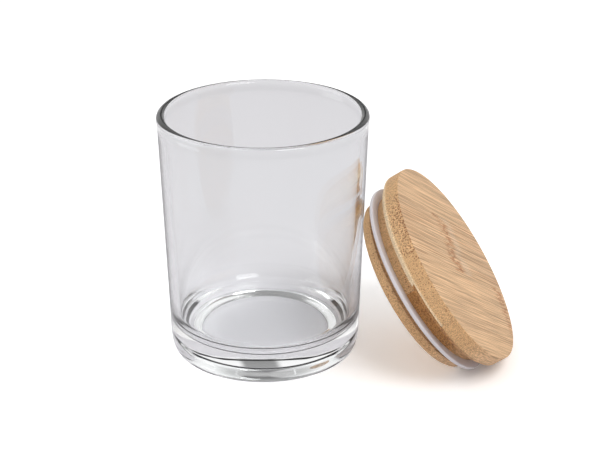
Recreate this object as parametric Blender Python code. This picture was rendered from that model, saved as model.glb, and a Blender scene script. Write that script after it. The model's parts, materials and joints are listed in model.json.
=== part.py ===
"""An empty glass candle jar, with its bamboo lid leaning against its side.

Units are metres and +Z is up. The origin is the centre of the jar's flat underside.
The lid leans on the jar's +X side, so its own axis lies in the XZ plane.

The lid is cut from a board of three glued layers. Each layer is a row of flat slats, all
with their fibres the same way, and a turned outline trims the row to the lid's round shape.
"""

import math

import bmesh
import bpy
from mathutils import Vector

MM = 0.001
GLUE_GAP = 0.3 * MM  # space left between neighbouring pieces

# Glass jar
JAR_HEIGHT = 96 * MM
JAR_BASE_RADIUS = 37 * MM  # outside, at the underside
JAR_HEEL_RADIUS = 1.5 * MM  # rounding between the underside and the wall
JAR_MOUTH_RADIUS = 40 * MM  # outside, at the lip's widest point
JAR_LIP_RADIUS = 1.6 * MM  # half the thickness of the rounded lip
JAR_LIP_SWELL = 0.3 * MM  # how far the lip stands out from either side of the wall
JAR_LIP_SWELL_HEIGHT = 3.5 * MM  # height over which the wall swells into the lip
JAR_FLOOR = 9.5 * MM  # thickness of the solid glass base
JAR_INSIDE_BASE_RADIUS = 34 * MM  # inside, where the wall meets the floor's corner
JAR_CORNER_RADIUS = 9 * MM  # rounding between the inside wall and the floor

# Bamboo lid, with heights measured down from its top face
DISC_RADIUS = 40.75 * MM
DISC_FACE_CHAMFER = 0.4 * MM
DISC_UNDERSIDE = 7.7 * MM
DISC_CHAMFER = 1.5 * MM
PLUG_RADIUS = 35.25 * MM
PLUG_CHAMFER = 1.3 * MM
LID_THICKNESS = 20 * MM
TOP_LAYER_BOTTOM = 6.2 * MM
MIDDLE_LAYER_BOTTOM = 13.05 * MM

# Places of the glue seams across each layer, measured from the lid's axis
TOP_SEAMS = (-30 * MM, -4.5 * MM, 21 * MM)
MIDDLE_SEAMS = (-14.5 * MM, 13 * MM)
BOTTOM_SEAMS = (-12.5 * MM, 14.5 * MM)
GRAIN_ANGLE = 49  # degrees from the lid's downhill direction to the fibres

# Silicone seal, a flat ring in a groove round the plug
SEAL_TOP = 12.5 * MM
SEAL_THICKNESS = 1.4 * MM
SEAL_RADIUS = 38.75 * MM
GROOVE_RADIUS = 33.7 * MM
GROOVE_SPARE = 2.3 * MM  # open part of the groove, on the seal's far side from the disc

# How the lid leans
LEAN_ANGLE = math.radians(55)  # from the upright jar's axis to the lid's axis

TURNED_SEGMENTS = 72
LID_SEGMENTS = 96


def clear_scene():
    for scene_object in list(bpy.data.objects):
        bpy.data.objects.remove(scene_object, do_unlink=True)


def make_material(name, colour, roughness, transmission=0.0):
    material = bpy.data.materials.new(name)
    material.use_nodes = True
    shader = material.node_tree.nodes["Principled BSDF"]
    shader.inputs["Base Color"].default_value = (*colour, 1.0)
    shader.inputs["Roughness"].default_value = roughness
    shader.inputs["Metallic"].default_value = 0.0
    shader.inputs["Transmission Weight"].default_value = transmission
    return material


def add_object(name, mesh, material=None):
    new_object = bpy.data.objects.new(name, mesh)
    bpy.context.scene.collection.objects.link(new_object)
    if material:
        mesh.materials.append(material)
    return new_object


def arc(centre, radius, start, end, steps):
    """Points on a round stretch of an outline, from the start angle to the end angle in degrees."""
    angles = [math.radians(start + (end - start) * step / steps) for step in range(steps + 1)]
    return [
        (centre[0] + radius * math.cos(angle), centre[1] + radius * math.sin(angle))
        for angle in angles
    ]


def turned_mesh(name, outline, segments, closed=False):
    """Turns an outline of (radius, height) points about the Z axis."""
    shape = bmesh.new()
    corners = [shape.verts.new((radius, 0, height)) for radius, height in outline]
    pairs = list(zip(corners, corners[1:]))
    if closed:
        pairs.append((corners[-1], corners[0]))
    edges = [shape.edges.new(pair) for pair in pairs]
    bmesh.ops.spin(
        shape, geom=corners + edges, cent=(0, 0, 0), axis=(0, 0, 1),
        angle=math.tau, steps=segments, use_merge=True,
    )
    bmesh.ops.remove_doubles(shape, verts=shape.verts, dist=0.001 * MM)
    bmesh.ops.recalc_face_normals(shape, faces=shape.faces)
    mesh = bpy.data.meshes.new(name)
    shape.to_mesh(mesh)
    shape.free()
    mesh.shade_smooth()
    mesh.set_sharp_from_angle(angle=math.radians(30))
    return mesh


def jar_lip():
    """Outline of the lip, over the top from the outside wall to the inside wall."""
    middle = JAR_MOUTH_RADIUS - JAR_LIP_RADIUS
    widest_height = JAR_HEIGHT - JAR_LIP_RADIUS
    swell = []
    for step in range(4):
        inset = JAR_LIP_SWELL * (1 + math.cos(math.pi * step / 4)) / 2
        height = widest_height - JAR_LIP_SWELL_HEIGHT * (1 - step / 4)
        swell.append((JAR_LIP_RADIUS - inset, height))
    return [
        *[(middle + half_width, height) for half_width, height in swell],
        *arc((middle, widest_height), JAR_LIP_RADIUS, 0, 180, 10),
        *[(middle - half_width, height) for half_width, height in reversed(swell)],
    ]


def jar_outside_radius(height):
    """Radius of the straight, tapered outside wall."""
    lip_edge_radius, lip_edge_height = jar_lip()[0]
    return JAR_BASE_RADIUS + (lip_edge_radius - JAR_BASE_RADIUS) * height / lip_edge_height


def jar_outline():
    heel_centre = (JAR_BASE_RADIUS - JAR_HEEL_RADIUS, JAR_HEEL_RADIUS)
    corner_centre = (JAR_INSIDE_BASE_RADIUS - JAR_CORNER_RADIUS, JAR_FLOOR + JAR_CORNER_RADIUS)
    return [
        (0, 0),
        *arc(heel_centre, JAR_HEEL_RADIUS, -90, 0, 3),
        *jar_lip(),
        *arc(corner_centre, JAR_CORNER_RADIUS, 0, -90, 6),
        (0, JAR_FLOOR),
    ]


def make_jar():
    glass = make_material("clear_glass", (0.86, 0.87, 0.88), 0.02, transmission=1.0)
    return add_object("glass_jar", turned_mesh("glass_jar", jar_outline(), TURNED_SEGMENTS), glass)


def top_layer_outline():
    return [
        (0, 0),
        (DISC_RADIUS - DISC_FACE_CHAMFER, 0),
        (DISC_RADIUS, -DISC_FACE_CHAMFER),
        (DISC_RADIUS, -TOP_LAYER_BOTTOM),
        (0, -TOP_LAYER_BOTTOM),
    ]


def middle_layer_outline():
    top = TOP_LAYER_BOTTOM + GLUE_GAP
    chamfer_top = DISC_UNDERSIDE - DISC_CHAMFER
    return [
        (0, -top),
        (DISC_RADIUS - (top - chamfer_top), -top),
        (DISC_RADIUS - DISC_CHAMFER, -DISC_UNDERSIDE),
        (PLUG_RADIUS, -DISC_UNDERSIDE),
        (PLUG_RADIUS, -(SEAL_TOP - GLUE_GAP)),
        (GROOVE_RADIUS, -(SEAL_TOP - GLUE_GAP)),
        (GROOVE_RADIUS, -MIDDLE_LAYER_BOTTOM),
        (0, -MIDDLE_LAYER_BOTTOM),
    ]


def bottom_layer_outline():
    top = MIDDLE_LAYER_BOTTOM + GLUE_GAP
    groove_bottom = SEAL_TOP + SEAL_THICKNESS + GROOVE_SPARE
    return [
        (0, -top),
        (GROOVE_RADIUS, -top),
        (GROOVE_RADIUS, -groove_bottom),
        (PLUG_RADIUS, -groove_bottom),
        (PLUG_RADIUS, -(LID_THICKNESS - PLUG_CHAMFER)),
        (PLUG_RADIUS - PLUG_CHAMFER, -LID_THICKNESS),
        (0, -LID_THICKNESS),
    ]


def seal_outline():
    """The seal's section: square at the groove, with a fully rounded outer edge."""
    half = SEAL_THICKNESS / 2
    inside = GROOVE_RADIUS + GLUE_GAP
    edge_centre = (SEAL_RADIUS - half, -(SEAL_TOP + half))
    return [
        (inside, -(SEAL_TOP + SEAL_THICKNESS)),
        *arc(edge_centre, half, -90, 90, 6),
        (inside, -SEAL_TOP),
    ]


def leaning_lid_place():
    """Top face's centre, as (x, z), where the lid rests on the floor and leans on the jar."""
    down, out = math.cos(LEAN_ANGLE), math.sin(LEAN_ANGLE)
    half_seal = SEAL_THICKNESS / 2
    edges = [  # radius and depth of each edge that could touch, and the rounding on it
        (SEAL_RADIUS - half_seal, SEAL_TOP + half_seal, half_seal),
        (PLUG_RADIUS, LID_THICKNESS - PLUG_CHAMFER, 0),
        (PLUG_RADIUS - PLUG_CHAMFER, LID_THICKNESS, 0),
    ]
    height = max(radius * out + depth * down + rounding for radius, depth, rounding in edges)
    distance = max(
        jar_outside_radius(height - depth * down + radius * out)
        + depth * out + radius * down + rounding
        for radius, depth, rounding in edges
    )
    return distance + GLUE_GAP, height


def make_lid_pivot():
    """Empty on the low side of the disc's rim, where the lid tips over away from the jar.

    The pivot lies as high above the floor as it lies below the top face, so the lid comes to
    rest flat on that face. Its Z axis is the lid's own axis and its X axis points downhill.
    """
    face_x, face_z = leaning_lid_place()
    down, out = math.cos(LEAN_ANGLE), math.sin(LEAN_ANGLE)
    depth = (face_z - DISC_RADIUS * out) / (1 + down)
    pivot = add_object("lid_pivot", None)
    pivot.location = (face_x - depth * out + DISC_RADIUS * down, 0, depth)
    pivot.rotation_euler = (0, LEAN_ANGLE, 0)
    return pivot, Vector((-DISC_RADIUS, 0, depth))


def hang_on_pivot(lid_object, pivot, face_centre, turn=0.0):
    lid_object.parent = pivot
    lid_object.location = face_centre
    lid_object.rotation_euler = (0, 0, math.radians(turn))


def bar_mesh(name, low, high, depth):
    """A sawn bar between two seams, longer and thicker than the layer that it is cut to."""
    shape = bmesh.new()
    bmesh.ops.create_cube(shape, size=1)
    length = 2.2 * DISC_RADIUS
    bmesh.ops.scale(shape, verts=shape.verts, vec=(length, high - low, depth))
    bmesh.ops.translate(shape, verts=shape.verts, vec=(0, (low + high) / 2, 0))
    mesh = bpy.data.meshes.new(name)
    shape.to_mesh(mesh)
    shape.free()
    return mesh


def make_layer(name, outline, seams, pivot, face_centre, bamboo):
    """Saws one layer into its slats and trims each slat to the turned outline."""
    blank = add_object(name + "_blank", turned_mesh(name + "_blank", outline, LID_SEGMENTS))
    blank.hide_render = True
    blank.display_type = "WIRE"
    hang_on_pivot(blank, pivot, face_centre)
    limits = [-1.1 * DISC_RADIUS, *seams, 1.1 * DISC_RADIUS]
    for number, (low, high) in enumerate(zip(limits, limits[1:]), start=1):
        slat_name = f"{name}_slat_{number}"
        bar = bar_mesh(slat_name, low + GLUE_GAP / 2, high - GLUE_GAP / 2, 3 * LID_THICKNESS)
        slat = add_object(slat_name, bar, bamboo)
        hang_on_pivot(slat, pivot, face_centre, GRAIN_ANGLE)
        trim = slat.modifiers.new("turned_outline", "BOOLEAN")
        trim.operation = "INTERSECT"
        trim.solver = "EXACT"
        trim.object = blank


def make_seal(pivot, face_centre):
    silicone = make_material("white_silicone", (0.83, 0.82, 0.84), 0.45)
    mesh = turned_mesh("silicone_seal", seal_outline(), TURNED_SEGMENTS, closed=True)
    seal = add_object("silicone_seal", mesh, silicone)
    hang_on_pivot(seal, pivot, face_centre)


def make_lid():
    pivot, face_centre = make_lid_pivot()
    bamboo = make_material("bamboo", (0.68, 0.47, 0.29), 0.5)
    layers = {
        "lid_top": (top_layer_outline(), TOP_SEAMS),
        "lid_middle": (middle_layer_outline(), MIDDLE_SEAMS),
        "lid_bottom": (bottom_layer_outline(), BOTTOM_SEAMS),
    }
    for name, (outline, seams) in layers.items():
        make_layer(name, outline, seams, pivot, face_centre, bamboo)
    make_seal(pivot, face_centre)


def main():
    clear_scene()
    make_jar()
    make_lid()


main()
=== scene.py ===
"""Looks of the empty candle jar: clear glass, a laminated bamboo lid and a silicone seal.

The jar is turned again with a finer outline than its CAD solid, and with a hollow underside. The
lid's slats are cut again so that they meet at thin glue lines, and the seal gets rounded edges.
Lengths are in metres.
"""

import json
import math

import bmesh
import bpy
from mathutils import Matrix, Vector


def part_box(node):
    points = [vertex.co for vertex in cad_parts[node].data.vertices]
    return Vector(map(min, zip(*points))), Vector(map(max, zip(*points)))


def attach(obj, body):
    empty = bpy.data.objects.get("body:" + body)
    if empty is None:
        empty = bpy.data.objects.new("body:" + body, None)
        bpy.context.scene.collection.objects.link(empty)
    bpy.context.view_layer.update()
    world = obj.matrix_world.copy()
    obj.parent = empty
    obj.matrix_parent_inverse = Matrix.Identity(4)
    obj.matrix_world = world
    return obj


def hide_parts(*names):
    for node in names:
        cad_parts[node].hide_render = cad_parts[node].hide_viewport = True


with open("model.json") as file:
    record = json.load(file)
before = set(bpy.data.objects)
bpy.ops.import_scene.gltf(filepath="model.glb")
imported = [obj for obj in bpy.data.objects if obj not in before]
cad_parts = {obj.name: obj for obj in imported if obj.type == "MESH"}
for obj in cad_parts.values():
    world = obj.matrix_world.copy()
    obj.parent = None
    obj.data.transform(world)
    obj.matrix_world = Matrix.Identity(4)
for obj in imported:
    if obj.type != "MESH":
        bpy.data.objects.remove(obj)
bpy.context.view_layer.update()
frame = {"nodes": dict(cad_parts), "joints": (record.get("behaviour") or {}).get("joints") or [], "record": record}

MM = 0.001

# Glass jar, whose height and mouth come from the frame
JAR_BASE_RADIUS = 37 * MM
JAR_HEEL_WIDTH = 2.2 * MM  # how far the heel's elliptical rounding comes in, and how far it goes up
JAR_HEEL_HEIGHT = 5.5 * MM
JAR_SEAM_STEP = 0.12 * MM  # step at the mould's seam, at the top of the heel
JAR_PUNT_HEIGHT = 3 * MM  # rise of the hollow underside
JAR_PUNT_TOP_RADIUS = 24 * MM
JAR_PUNT_RADIUS = 32 * MM
JAR_LIP_RADIUS = 1.6 * MM
JAR_LIP_SWELL = 0.3 * MM  # how far the lip stands out from either side of the wall
JAR_LIP_SWELL_HEIGHT = 3.5 * MM
JAR_INSIDE_BASE_RADIUS = 34 * MM
JAR_CORNER_RADIUS = 9 * MM

# Bamboo lid, with heights measured down from its top face
DISC_EDGE_ROUND = 0.4 * MM
DISC_UNDERSIDE = 7.7 * MM
DISC_CHAMFER = 1.5 * MM
PLUG_RADIUS = 35.25 * MM
PLUG_CHAMFER = 1.3 * MM
LID_THICKNESS = 20 * MM
TOP_LAYER_BOTTOM = 6.2 * MM
MIDDLE_LAYER_BOTTOM = 13.05 * MM
TOP_SEAMS = (-30 * MM, -4.5 * MM, 21 * MM)
MIDDLE_SEAMS = (-14.5 * MM, 13 * MM)
BOTTOM_SEAMS = (-12.5 * MM, 14.5 * MM)
GRAIN_ANGLE = math.radians(49)
GLUE_LINE = 0.04 * MM
SEAM_BEVEL = 0.06 * MM

# Silicone seal
SEAL_TOP = 12.5 * MM
SEAL_THICKNESS = 1.4 * MM
SEAL_RADIUS = 38.75 * MM
SEAL_EDGE_ROUND = 0.35 * MM
GROOVE_RADIUS = 33.7 * MM
GROOVE_SPARE = 2.3 * MM  # open part of the groove, on the seal's far side from the disc

# Steps round a full turn, and along the stretches of the jar's outline
GLASS_SEGMENTS = 256
LID_SEGMENTS = 192
LIP_STEPS = 32
SWELL_STEPS = 16
HEEL_STEPS = 24
CORNER_STEPS = 16
SHOULDER_STEPS = 20
WALL_STEPS = 24
FLAT_STEPS = 6

# Colours. A pair holds the two ends that a pattern blends between.
GLASS_TINTS = ((0.978, 0.988, 0.988), (0.988, 0.995, 0.995))
GLASS_SHADOW = (0.87, 0.87, 0.88)
SILICONE_TINTS = ((0.63, 0.60, 0.62), (0.71, 0.68, 0.70))
BAMBOO_FACE = ((0.74, 0.50, 0.30), (0.63, 0.38, 0.19))
BAMBOO_END = ((0.76, 0.50, 0.27), (0.52, 0.26, 0.09))
# Pale cream painted on the disc's lower edge and chamfer as a highlight
BAMBOO_HIGHLIGHT = (0.86, 0.66, 0.42)
FACE_FIBRE = (0.36, 0.18, 0.08)
END_FIBRE = (0.23, 0.08, 0.03)
NODE_DASH = (0.45, 0.20, 0.08)
NODE_PALE = (0.66, 0.52, 0.38)
FLOOR_SEEN = (1.3, 1.3, 1.3)  # as the camera sees it directly
FLOOR_ELSEWHERE = (0.79, 0.775, 0.80)  # in and through the glass, and for all other light

# Each slat's looks: (tone of the ground from 0, pale, to 1, orange-brown; share of dark fibres at
# its outer face, 0 to 1; place of its node along the fibres, or None)
SLAT_LOOKS = {
    ("top", 1): (0.45, 0.30, None),
    ("top", 2): (0.40, 0.50, 35 * MM),
    ("top", 3): (0.30, 1.00, 0.0),
    ("top", 4): (0.35, 0.35, None),
    ("middle", 1): (1.00, 1.00, None),
    ("middle", 2): (0.35, 0.75, None),
    ("middle", 3): (0.30, 0.60, None),
    ("bottom", 1): (0.45, 0.60, None),
    ("bottom", 2): (0.40, 0.90, None),
    ("bottom", 3): (0.40, 0.75, None),
}

# Slats with a painted highlight on the disc's lower edge, pale and almost free of fibres, and the
# depths in the layer, in thicknesses of the top layer, at which the painted highlight begins and is full
LOWER_EDGE_HIGHLIGHT = {
    ("top", 2): (0.80, 0.98),
    ("top", 3): (0.80, 0.98),
    ("top", 4): (0.80, 0.98),
    ("middle", 2): (0.30, 0.22),
    ("middle", 3): (0.30, 0.22),
}

FLOOR_HALF_SIZE = 4.0
FLOOR_DROP = 0.1 * MM  # keeps the floor just clear of what stands on it

# Camera, aimed at a point just right of the jar's axis
CAMERA_AZIMUTH = math.radians(9.44)
CAMERA_ELEVATION = math.radians(23.74)
CAMERA_DISTANCE = 0.577
CAMERA_AIM = Vector((0.0136, 0.0028, 0.0494))
CAMERA_LENS = 89.4


# ---------------------------------------------------------------- shapes

def arc(centre, radius, start, end, steps, height=None):
    """Points on a round stretch of an outline, from the start angle to the end angle in degrees.

    A height makes it a stretch of an ellipse, with the radius as its half width.
    """
    rise = radius if height is None else height
    angles = [math.radians(start + (end - start) * step / steps) for step in range(steps + 1)]
    return [
        (centre[0] + radius * math.cos(angle), centre[1] + rise * math.sin(angle))
        for angle in angles
    ]


def straight(start, end, steps):
    """Points inside a straight stretch of an outline, without its two ends."""
    return [
        (start[0] + (end[0] - start[0]) * step / steps, start[1] + (end[1] - start[1]) * step / steps)
        for step in range(1, steps)
    ]


def turn(outline, segments, closed=False):
    """Turns an outline of (radius, height) points about the Z axis into a closed solid."""
    shape = bmesh.new()
    corners = [shape.verts.new((radius, 0, height)) for radius, height in outline]
    pairs = list(zip(corners, corners[1:]))
    if closed:
        pairs.append((corners[-1], corners[0]))
    edges = [shape.edges.new(pair) for pair in pairs]
    bmesh.ops.spin(
        shape, geom=corners + edges, cent=(0, 0, 0), axis=(0, 0, 1),
        angle=math.tau, steps=segments, use_merge=True,
    )
    bmesh.ops.remove_doubles(shape, verts=shape.verts, dist=0.001 * MM)
    bmesh.ops.recalc_face_normals(shape, faces=shape.faces)
    return shape


def add_piece(name, shape, material, sharp_angle):
    """Makes a smooth-shaded object of a shape, with sharp edges past an angle in degrees."""
    mesh = bpy.data.meshes.new(name)
    shape.to_mesh(mesh)
    shape.free()
    mesh.shade_smooth()
    mesh.set_sharp_from_angle(angle=math.radians(sharp_angle))
    mesh.materials.append(material)
    piece = bpy.data.objects.new(name, mesh)
    bpy.context.scene.collection.objects.link(piece)
    return piece


def jar_lip(height, mouth_radius):
    """Outline over the rounded lip, which the wall swells into on both sides."""
    middle = mouth_radius - JAR_LIP_RADIUS
    widest_height = height - JAR_LIP_RADIUS
    swell = []
    for step in range(SWELL_STEPS):
        share = step / SWELL_STEPS
        inset = JAR_LIP_SWELL * (1 + math.cos(math.pi * share)) / 2
        swell.append((JAR_LIP_RADIUS - inset, widest_height - JAR_LIP_SWELL_HEIGHT * (1 - share)))
    return [
        *[(middle + half_width, level) for half_width, level in swell],
        *arc((middle, widest_height), JAR_LIP_RADIUS, 0, 180, LIP_STEPS),
        *[(middle - half_width, level) for half_width, level in reversed(swell)],
    ]


def jar_shoulder():
    """Outline of the curved edge of the hollow underside, from its flat top down to the heel."""
    shoulder = []
    for step in range(SHOULDER_STEPS + 1):
        share = step / SHOULDER_STEPS
        radius = JAR_PUNT_TOP_RADIUS + (JAR_PUNT_RADIUS - JAR_PUNT_TOP_RADIUS) * share
        shoulder.append((radius, JAR_PUNT_HEIGHT * (1 + math.cos(math.pi * share)) / 2))
    return shoulder


def jar_outline(height, mouth_radius, floor_height):
    """Outline from the middle of the underside, out and over the lip, to the inside floor."""
    seam_radius = JAR_BASE_RADIUS + JAR_SEAM_STEP
    heel_centre = (JAR_BASE_RADIUS - JAR_HEEL_WIDTH, JAR_HEEL_HEIGHT)
    corner_centre = (JAR_INSIDE_BASE_RADIUS - JAR_CORNER_RADIUS, floor_height + JAR_CORNER_RADIUS)
    heel = arc(heel_centre, JAR_HEEL_WIDTH, -90, 0, HEEL_STEPS, JAR_HEEL_HEIGHT)
    heel.append((seam_radius, JAR_HEEL_HEIGHT + JAR_SEAM_STEP))
    lip = jar_lip(height, mouth_radius)
    corner = arc(corner_centre, JAR_CORNER_RADIUS, 0, -90, CORNER_STEPS)
    shoulder = jar_shoulder()
    return [
        (0, JAR_PUNT_HEIGHT),
        *straight((0, JAR_PUNT_HEIGHT), shoulder[0], FLAT_STEPS),
        *shoulder,
        *heel,
        *straight(heel[-1], lip[0], WALL_STEPS),
        *lip,
        *straight(lip[-1], corner[0], WALL_STEPS),
        *corner,
        *straight(corner[-1], (0, floor_height), FLAT_STEPS),
        (0, floor_height),
    ]


def make_jar(material):
    low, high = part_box("glass_jar")
    floor_height = next(
        mount["pos_m"][2] for mount in frame["record"]["mounts"] if mount["name"] == "inside_floor"
    )
    outline = jar_outline(high.z, (high.y - low.y) / 2, floor_height)
    jar = add_piece("jar", turn(outline, GLASS_SEGMENTS), material, 40)
    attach(jar, "jar")
    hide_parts("glass_jar")


def disc_radius():
    """Half the width of the lid's disc, from the boxes of its top slats."""
    boxes = [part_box(name) for name in frame["nodes"] if name.startswith("lid_top")]
    return (max(high.y for low, high in boxes) - min(low.y for low, high in boxes)) / 2


def lid_place(radius):
    """Matrix of the leaning lid: origin at its top face's centre, +Z out of it, +X downhill."""
    joint = frame["joints"][0]
    # The hinge's far end lays the lid on its top face, on the floor. So the rest of a half turn is
    # its lean, and the hinge is as deep below the top face as it is high above the floor.
    lean = math.radians(180 - joint["range_deg"][1])
    depth = joint["pos_m"][2]
    pivot = Matrix.Translation(Vector(joint["pos_m"])) @ Matrix.Rotation(lean, 4, "Y")
    return pivot @ Matrix.Translation((-radius, 0, depth))


def top_layer_outline(radius):
    edge_centre = (radius - DISC_EDGE_ROUND, -DISC_EDGE_ROUND)
    return [
        (0, 0),
        *arc(edge_centre, DISC_EDGE_ROUND, 90, 0, 4),
        (radius, -(TOP_LAYER_BOTTOM - GLUE_LINE / 2)),
        (0, -(TOP_LAYER_BOTTOM - GLUE_LINE / 2)),
    ]


def middle_layer_outline(radius):
    top = TOP_LAYER_BOTTOM + GLUE_LINE / 2
    seal_top = SEAL_TOP - GLUE_LINE
    return [
        (0, -top),
        (radius, -top),
        (radius - DISC_CHAMFER, -DISC_UNDERSIDE),
        (PLUG_RADIUS, -DISC_UNDERSIDE),
        (PLUG_RADIUS, -seal_top),
        (GROOVE_RADIUS, -seal_top),
        (GROOVE_RADIUS, -(MIDDLE_LAYER_BOTTOM - GLUE_LINE / 2)),
        (0, -(MIDDLE_LAYER_BOTTOM - GLUE_LINE / 2)),
    ]


def bottom_layer_outline(radius):
    top = MIDDLE_LAYER_BOTTOM + GLUE_LINE / 2
    groove_bottom = SEAL_TOP + SEAL_THICKNESS + GROOVE_SPARE
    return [
        (0, -top),
        (GROOVE_RADIUS, -top),
        (GROOVE_RADIUS, -groove_bottom),
        (PLUG_RADIUS, -groove_bottom),
        (PLUG_RADIUS, -(LID_THICKNESS - PLUG_CHAMFER)),
        (PLUG_RADIUS - PLUG_CHAMFER, -LID_THICKNESS),
        (0, -LID_THICKNESS),
    ]


def slat_shape(outline, low, high):
    """The part of a turned layer between two glue seams, with the seams along X."""
    shape = turn(outline, LID_SEGMENTS)
    for place, side in ((low, -1), (high, 1)):
        cut = bmesh.ops.bisect_plane(
            shape, geom=[*shape.verts, *shape.edges, *shape.faces],
            plane_co=(0, place, 0), plane_no=(0, side, 0), clear_outer=True,
        )
        rim = [item for item in cut["geom_cut"] if isinstance(item, bmesh.types.BMEdge)]
        if rim:
            bmesh.ops.edgeloop_fill(shape, edges=rim)
    bmesh.ops.recalc_face_normals(shape, faces=shape.faces)
    return shape


def make_slats(layer, outline, seams, radius, place):
    """Cuts one layer of the lid into its slats. The outer limits lie past the disc's edge."""
    limits = [-1.1 * radius, *seams, 1.1 * radius]
    turned = place @ Matrix.Rotation(GRAIN_ANGLE, 4, "Z")
    for number, (low, high) in enumerate(zip(limits, limits[1:]), start=1):
        node = f"lid_{layer}_slat_{number}"
        shape = slat_shape(outline, low + GLUE_LINE / 2, high - GLUE_LINE / 2)
        bmesh.ops.transform(shape, matrix=turned, verts=shape.verts)
        slat = add_piece(f"{layer}_slat_{number}", shape, bamboo(layer, number, turned), 30)
        bevel = slat.modifiers.new("soft_edges", "BEVEL")
        bevel.width = SEAM_BEVEL
        bevel.segments = 2
        bevel.limit_method = "ANGLE"
        bevel.angle_limit = math.radians(50)
        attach(slat, "lid")
        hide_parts(node)


def make_seal(place, material):
    """A flat ring with a rounded outer edge, seated on the groove's wall."""
    edge = SEAL_RADIUS - SEAL_EDGE_ROUND
    outline = [
        (GROOVE_RADIUS, -(SEAL_TOP + SEAL_THICKNESS)),
        *arc((edge, -(SEAL_TOP + SEAL_THICKNESS - SEAL_EDGE_ROUND)), SEAL_EDGE_ROUND, -90, 0, 6),
        *arc((edge, -(SEAL_TOP + SEAL_EDGE_ROUND)), SEAL_EDGE_ROUND, 0, 90, 6),
        (GROOVE_RADIUS, -SEAL_TOP),
    ]
    shape = turn(outline, GLASS_SEGMENTS, closed=True)
    bmesh.ops.transform(shape, matrix=place, verts=shape.verts)
    seal = add_piece("seal", shape, material, 40)
    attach(seal, "lid")
    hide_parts("silicone_seal")


# ------------------------------------------------------------- materials

def new_material(name):
    material = bpy.data.materials.new(name)
    material.use_nodes = True
    return material, material.node_tree


def add_node(tree, kind, inputs=None, **properties):
    """Adds a node. An input given as a socket is linked, and any other is its value."""
    node = tree.nodes.new("ShaderNode" + kind)
    for name, value in properties.items():
        setattr(node, name, value)
    for name, value in (inputs or {}).items():
        if isinstance(value, bpy.types.NodeSocket):
            tree.links.new(value, node.inputs[name])
        else:
            node.inputs[name].default_value = value
    return node


def maths(tree, operation, *values):
    node = add_node(tree, "Math", dict(enumerate(values)), operation=operation)
    return node.outputs[0]


def step_between(tree, value, start, end):
    """0 where the value is at start, 1 where it is at end, and smooth between them."""
    inputs = {"Value": value, "From Min": start, "From Max": end}
    node = add_node(tree, "MapRange", inputs, interpolation_type="SMOOTHSTEP")
    return node.outputs["Result"]


def blend_colours(tree, share, first, second):
    """Mixes two colours, or colour sockets, by a share from 0 to 1."""
    # Sockets 6 and 7 and output 2 are a Mix node's colours. The ones before them mix plain values.
    node = add_node(tree, "Mix", {0: share}, data_type="RGBA")
    for index, colour in ((6, first), (7, second)):
        if isinstance(colour, bpy.types.NodeSocket):
            tree.links.new(colour, node.inputs[index])
        else:
            node.inputs[index].default_value = (*colour, 1)
    return node.outputs[2]


def stretched(tree, place, sizes, offset=(0, 0, 0)):
    """The place divided by a size in metres along each axis."""
    scale = tuple(1 / size for size in sizes)
    inputs = {"Vector": place, "Scale": scale, "Location": offset}
    return add_node(tree, "Mapping", inputs).outputs["Vector"]


def noise(tree, vector, detail=2.0, roughness=0.5):
    inputs = {"Vector": vector, "Scale": 1.0, "Detail": detail, "Roughness": roughness}
    return add_node(tree, "TexNoise", inputs)


def clear_glass():
    """Clear glass with faint streaks, whose shadow is that of a pale see-through sheet."""
    material, tree = new_material("clear_glass")
    shader = tree.nodes["Principled BSDF"]
    shader.inputs["Transmission Weight"].default_value = 1.0
    shader.inputs["Roughness"].default_value = 0.0
    shader.inputs["IOR"].default_value = 1.5
    place = add_node(tree, "TexCoord").outputs["Object"]
    streaks = noise(tree, stretched(tree, place, (14 * MM, 14 * MM, 60 * MM)), detail=1.0).outputs[0]
    tint = blend_colours(tree, streaks, *GLASS_TINTS)
    tree.links.new(tint, shader.inputs["Base Color"])
    bump = add_node(tree, "Bump", {"Height": streaks, "Strength": 1.0, "Distance": 0.02 * MM})
    tree.links.new(bump.outputs[0], shader.inputs["Normal"])
    clear = add_node(tree, "BsdfTransparent", {"Color": (*GLASS_SHADOW, 1)})
    shadow_ray = add_node(tree, "LightPath").outputs["Is Shadow Ray"]
    mix = add_node(tree, "MixShader", {0: shadow_ray, 1: shader.outputs[0], 2: clear.outputs[0]})
    tree.links.new(mix.outputs[0], tree.nodes["Material Output"].inputs["Surface"])
    return material


def white_silicone():
    """Soft, slightly cloudy white rubber with a fine grain."""
    material, tree = new_material("white_silicone")
    shader = tree.nodes["Principled BSDF"]
    place = add_node(tree, "TexCoord").outputs["Object"]
    cloud = noise(tree, stretched(tree, place, (9 * MM, 9 * MM, 9 * MM)), detail=3.0).outputs[0]
    colour = blend_colours(tree, cloud, *SILICONE_TINTS)
    tree.links.new(colour, shader.inputs["Base Color"])
    shader.inputs["Roughness"].default_value = 0.55
    shader.inputs["Specular IOR Level"].default_value = 0.25
    shader.inputs["Subsurface Weight"].default_value = 0.25
    shader.inputs["Subsurface Radius"].default_value = (2.0, 2.0, 2.2)
    shader.inputs["Subsurface Scale"].default_value = 1 * MM
    grain = noise(tree, stretched(tree, place, (0.5 * MM, 0.5 * MM, 0.5 * MM))).outputs[0]
    bump = add_node(tree, "Bump", {"Height": grain, "Strength": 0.3, "Distance": 0.02 * MM})
    tree.links.new(bump.outputs[0], shader.inputs["Normal"])
    return material


def into(tree, vector, matrix, turn_only=False):
    """A place, or a direction, in the object's frame as the frame of a matrix has it."""
    origin = (0, 0, 0) if turn_only else matrix.to_translation()
    inputs = {"Vector": vector, "Location": origin, "Rotation": matrix.to_euler()}
    return add_node(tree, "Mapping", inputs, vector_type="TEXTURE").outputs["Vector"]


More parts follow.
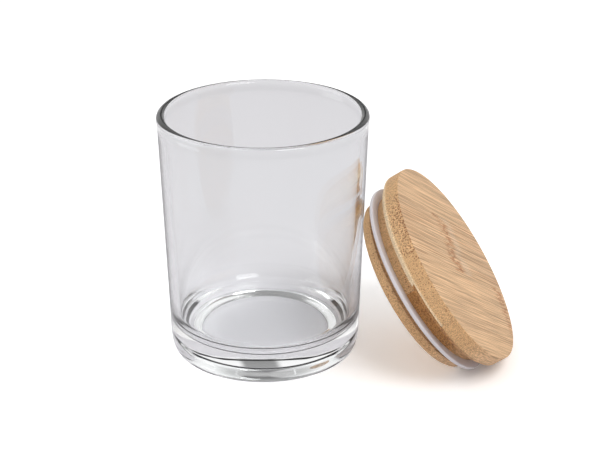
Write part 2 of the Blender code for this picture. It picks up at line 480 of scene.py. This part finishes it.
def wander(tree, place, offset):
    """The place, drifting slowly sideways as it goes along the fibres."""
    drift = noise(tree, stretched(tree, place, (30 * MM, 6 * MM, 6 * MM), offset)).outputs["Color"]
    inputs = {0: drift, 1: (0, 1.2 * MM, 1.2 * MM), 2: place}
    return add_node(tree, "VectorMath", inputs, operation="MULTIPLY_ADD").outputs[0]


def fibre_bundles(tree, place, offset, density):
    """How dark the fibre bundles are here: round dots across the grain, long streaks along it."""
    bundle_place = stretched(tree, place, (60 * MM, 0.82 * MM, 0.82 * MM), offset)
    inputs = {"Vector": bundle_place, "Scale": 1.0, "Randomness": 0.8}
    bundle = add_node(tree, "TexVoronoi", inputs)
    size = maths(tree, "MULTIPLY_ADD", density, 0.36, 0.24)
    inside = step_between(tree, bundle.outputs["Distance"], size, maths(tree, "MULTIPLY", size, 0.5))
    strength = add_node(tree, "SeparateXYZ", {0: bundle.outputs["Color"]}).outputs[0]
    strength = maths(tree, "MULTIPLY_ADD", strength, 0.4, 0.6)
    strength = maths(tree, "MULTIPLY", strength, maths(tree, "MULTIPLY_ADD", density, 0.5, 0.5))
    return maths(tree, "MULTIPLY", inside, strength)


def node_marks(tree, colour, place, along, node_place, offset):
    """The scar of a culm's joint: a ragged band of short brown dashes across the fibres."""
    sway_place = stretched(tree, place, (40 * MM, 4 * MM, 40 * MM), offset)
    sway = noise(tree, sway_place, detail=3.0).outputs[0]
    middle = maths(tree, "MULTIPLY_ADD", sway, 14 * MM, node_place - 7 * MM)
    distance = maths(tree, "SUBTRACT", along, middle)
    near = step_between(tree, maths(tree, "ABSOLUTE", distance), 7 * MM, 1 * MM)
    dash_place = stretched(tree, place, (3.2 * MM, 1.2 * MM, 3 * MM), offset)
    dashes = noise(tree, dash_place, detail=3.0, roughness=0.7).outputs[0]
    share = maths(tree, "MULTIPLY", near, step_between(tree, dashes, 0.44, 0.56))
    share = maths(tree, "MULTIPLY", share, 0.9)
    colour = blend_colours(tree, share, colour, NODE_DASH)
    beyond = maths(tree, "ABSOLUTE", maths(tree, "SUBTRACT", distance, 7 * MM))
    pale = maths(tree, "MULTIPLY", step_between(tree, beyond, 6 * MM, 0.0), 0.3)
    return blend_colours(tree, pale, colour, NODE_PALE)


def slat_fibres(tree, place, inward, reach, offset):
    """Dark fibre bundles, densest at the slat's outer face and thinning inward, in patches."""
    patches = noise(tree, stretched(tree, place, (80 * MM, 9 * MM, 5 * MM), offset)).outputs[0]
    fade = maths(tree, "MULTIPLY_ADD", inward, -0.5 * reach, reach)
    density = maths(tree, "MULTIPLY", fade, maths(tree, "MULTIPLY_ADD", patches, 1.2, 0.4))
    return fibre_bundles(tree, wander(tree, place, offset), offset, density)


def fine_streaks(tree, place, offset):
    """Hair-fine light and dark lines along the fibres."""
    streak_place = stretched(tree, place, (28 * MM, 0.3 * MM, 0.3 * MM), offset)
    streaks = noise(tree, streak_place, detail=3.0, roughness=0.6).outputs[0]
    return step_between(tree, streaks, 0.34, 0.66)


def streak_shade(tree, place, streaks, offset):
    """Brightness from the fine streaks and from broad, soft bands."""
    band = noise(tree, stretched(tree, place, (160 * MM, 3.5 * MM, 6 * MM), offset)).outputs[0]
    fine = maths(tree, "MULTIPLY_ADD", streaks, 0.64, 0.64)
    broad = maths(tree, "MULTIPLY_ADD", band, 0.24, 0.88)
    return maths(tree, "MULTIPLY", fine, broad)


def bamboo(layer, number, slat_frame):
    """Bamboo cut from the culm's wall, with its fibres along the slat's X."""
    tone, reach, node_place = SLAT_LOOKS[layer, number]
    top = {"top": 0, "middle": TOP_LAYER_BOTTOM, "bottom": MIDDLE_LAYER_BOTTOM}[layer]
    offset = (number * 3.7, number * 5.3 + top / MM, number * 1.9)
    material, tree = new_material(f"bamboo_{layer}_{number}")
    shader = tree.nodes["Principled BSDF"]
    coordinates = add_node(tree, "TexCoord").outputs
    place = into(tree, coordinates["Object"], slat_frame)
    normal = into(tree, coordinates["Normal"], slat_frame, turn_only=True)
    along, _, height = add_node(tree, "SeparateXYZ", {0: place}).outputs
    facing = add_node(tree, "SeparateXYZ", {0: normal}).outputs[0]
    end_grain = step_between(tree, maths(tree, "ABSOLUTE", facing), 0.1, 0.5)

    # Depth below the top of the slat's own layer, in thicknesses of the top layer
    inward = maths(tree, "MULTIPLY_ADD", height, -1 / TOP_LAYER_BOTTOM, -top / TOP_LAYER_BOTTOM)
    fibre = slat_fibres(tree, place, inward, reach, offset)
    streaks = fine_streaks(tree, place, offset)

    face_ground = blend_colours(tree, tone, *BAMBOO_FACE)
    end_ground = blend_colours(tree, tone, *BAMBOO_END)
    ground = blend_colours(tree, end_grain, face_ground, end_ground)
    # Painted highlight on the disc's lower edge: the ground turns pale cream and the dark fibres thin out
    if (layer, number) in LOWER_EDGE_HIGHLIGHT:
        edge_highlight = step_between(tree, inward, *LOWER_EDGE_HIGHLIGHT[layer, number])
        ground = blend_colours(tree, edge_highlight, ground, BAMBOO_HIGHLIGHT)
        fibre = maths(tree, "MULTIPLY", fibre, maths(tree, "MULTIPLY_ADD", edge_highlight, -0.7, 1.0))
    fibre_colour = blend_colours(tree, end_grain, FACE_FIBRE, END_FIBRE)
    share = maths(tree, "MULTIPLY", fibre, maths(tree, "MULTIPLY_ADD", end_grain, 0.4, 0.55))
    colour = blend_colours(tree, share, ground, fibre_colour)
    if node_place is not None:
        colour = node_marks(tree, colour, place, along, node_place, offset)
    shade = streak_shade(tree, place, streaks, offset)
    shaded = add_node(tree, "VectorMath", {0: colour, "Scale": shade}, operation="SCALE")
    tree.links.new(shaded.outputs[0], shader.inputs["Base Color"])
    shader.inputs["Roughness"].default_value = 0.6
    shader.inputs["Specular IOR Level"].default_value = 0.3
    relief = maths(tree, "MULTIPLY_ADD", fibre, -0.7, streaks)
    bump = add_node(tree, "Bump", {"Height": relief, "Strength": 0.5, "Distance": 0.05 * MM})
    tree.links.new(bump.outputs[0], shader.inputs["Normal"])
    return material


# ---------------------------------------------------------------- studio

def make_floor():
    """A wide pale floor, brighter where the camera sees it than in or through the glass."""
    shape = bmesh.new()
    bmesh.ops.create_grid(shape, x_segments=1, y_segments=1, size=FLOOR_HALF_SIZE)
    material, tree = new_material("studio_floor")
    tree.nodes.remove(tree.nodes["Principled BSDF"])
    elsewhere = add_node(tree, "BsdfDiffuse", {"Color": (*FLOOR_ELSEWHERE, 1)})
    seen = add_node(tree, "BsdfDiffuse", {"Color": (*FLOOR_SEEN, 1)})
    camera_ray = add_node(tree, "LightPath").outputs["Is Camera Ray"]
    mix = add_node(tree, "MixShader", {0: camera_ray, 1: elsewhere.outputs[0], 2: seen.outputs[0]})
    tree.links.new(mix.outputs[0], tree.nodes["Material Output"].inputs["Surface"])
    floor = add_piece("floor", shape, material, 30)
    floor.location.z = -FLOOR_DROP


def dimming(tree, value, start, end, loss):
    """A factor of 1 where the value is at start, that has fallen by the loss where it is at end."""
    return maths(tree, "MULTIPLY_ADD", step_between(tree, value, start, end), -loss, 1.0)


def make_world():
    """Soft studio light: even all round, dimmer overhead and on the near side.

    A narrow dim gap on the far side stands in for whatever the jar's base mirrors as a dark patch.
    """
    world = bpy.data.worlds.new("studio")
    world.use_nodes = True
    bpy.context.scene.world = world
    tree = world.node_tree
    direction = add_node(tree, "TexCoord").outputs["Generated"]
    sideways, forward, upward = add_node(tree, "SeparateXYZ", {0: direction}).outputs
    overhead = dimming(tree, upward, 0.6, 0.95, 0.5)
    near_side = dimming(tree, forward, -0.25, -0.75, 0.35)
    off_centre = maths(tree, "ABSOLUTE", maths(tree, "ADD", sideways, 0.13))
    in_gap = step_between(tree, off_centre, 0.15, 0.09)
    gap = maths(tree, "MULTIPLY", in_gap, step_between(tree, forward, 0.2, 0.4))
    far_gap = maths(tree, "MULTIPLY_ADD", gap, -0.7, 1.0)
    strength = maths(tree, "MULTIPLY", maths(tree, "MULTIPLY", overhead, near_side), far_gap)
    background = tree.nodes["Background"]
    background.inputs["Color"].default_value = (1, 1, 1, 1)
    tree.links.new(strength, background.inputs["Strength"])


def add_softbox(name, location, size, power):
    """A rectangular lamp of a size in metres and a power in watts, aimed at the jar's foot."""
    light = bpy.data.lights.new(name, "AREA")
    light.shape = "RECTANGLE"
    light.size, light.size_y = size
    light.energy = power
    lamp = bpy.data.objects.new(name, light)
    bpy.context.scene.collection.objects.link(lamp)
    lamp.location = location
    lamp.rotation_euler = (-Vector(location)).to_track_quat("-Z", "Y").to_euler()


def make_camera():
    """A level camera that looks down at the jar from a little right of its front."""
    outward = Vector((
        math.sin(CAMERA_AZIMUTH) * math.cos(CAMERA_ELEVATION),
        -math.cos(CAMERA_AZIMUTH) * math.cos(CAMERA_ELEVATION),
        math.sin(CAMERA_ELEVATION),
    ))
    camera = bpy.data.objects.new("camera", bpy.data.cameras.new("camera"))
    bpy.context.scene.collection.objects.link(camera)
    camera.data.lens = CAMERA_LENS
    camera.location = CAMERA_AIM + CAMERA_DISTANCE * outward
    camera.rotation_euler = (math.pi / 2 - CAMERA_ELEVATION, 0, CAMERA_AZIMUTH)
    bpy.context.scene.camera = camera


def main():
    make_camera()
    make_world()
    make_floor()
    add_softbox("key_light", (0.5, -0.5, 0.9), (0.5, 0.5), 4.0)
    add_softbox("fill_light", (-0.9, -0.2, 0.45), (0.6, 0.6), 1.5)
    bpy.context.scene.view_settings.view_transform = "Standard"
    make_jar(clear_glass())
    radius = disc_radius()
    place = lid_place(radius)
    make_slats("top", top_layer_outline(radius), TOP_SEAMS, radius, place)
    make_slats("middle", middle_layer_outline(radius), MIDDLE_SEAMS, radius, place)
    make_slats("bottom", bottom_layer_outline(radius), BOTTOM_SEAMS, radius, place)
    make_seal(place, white_silicone())


main()
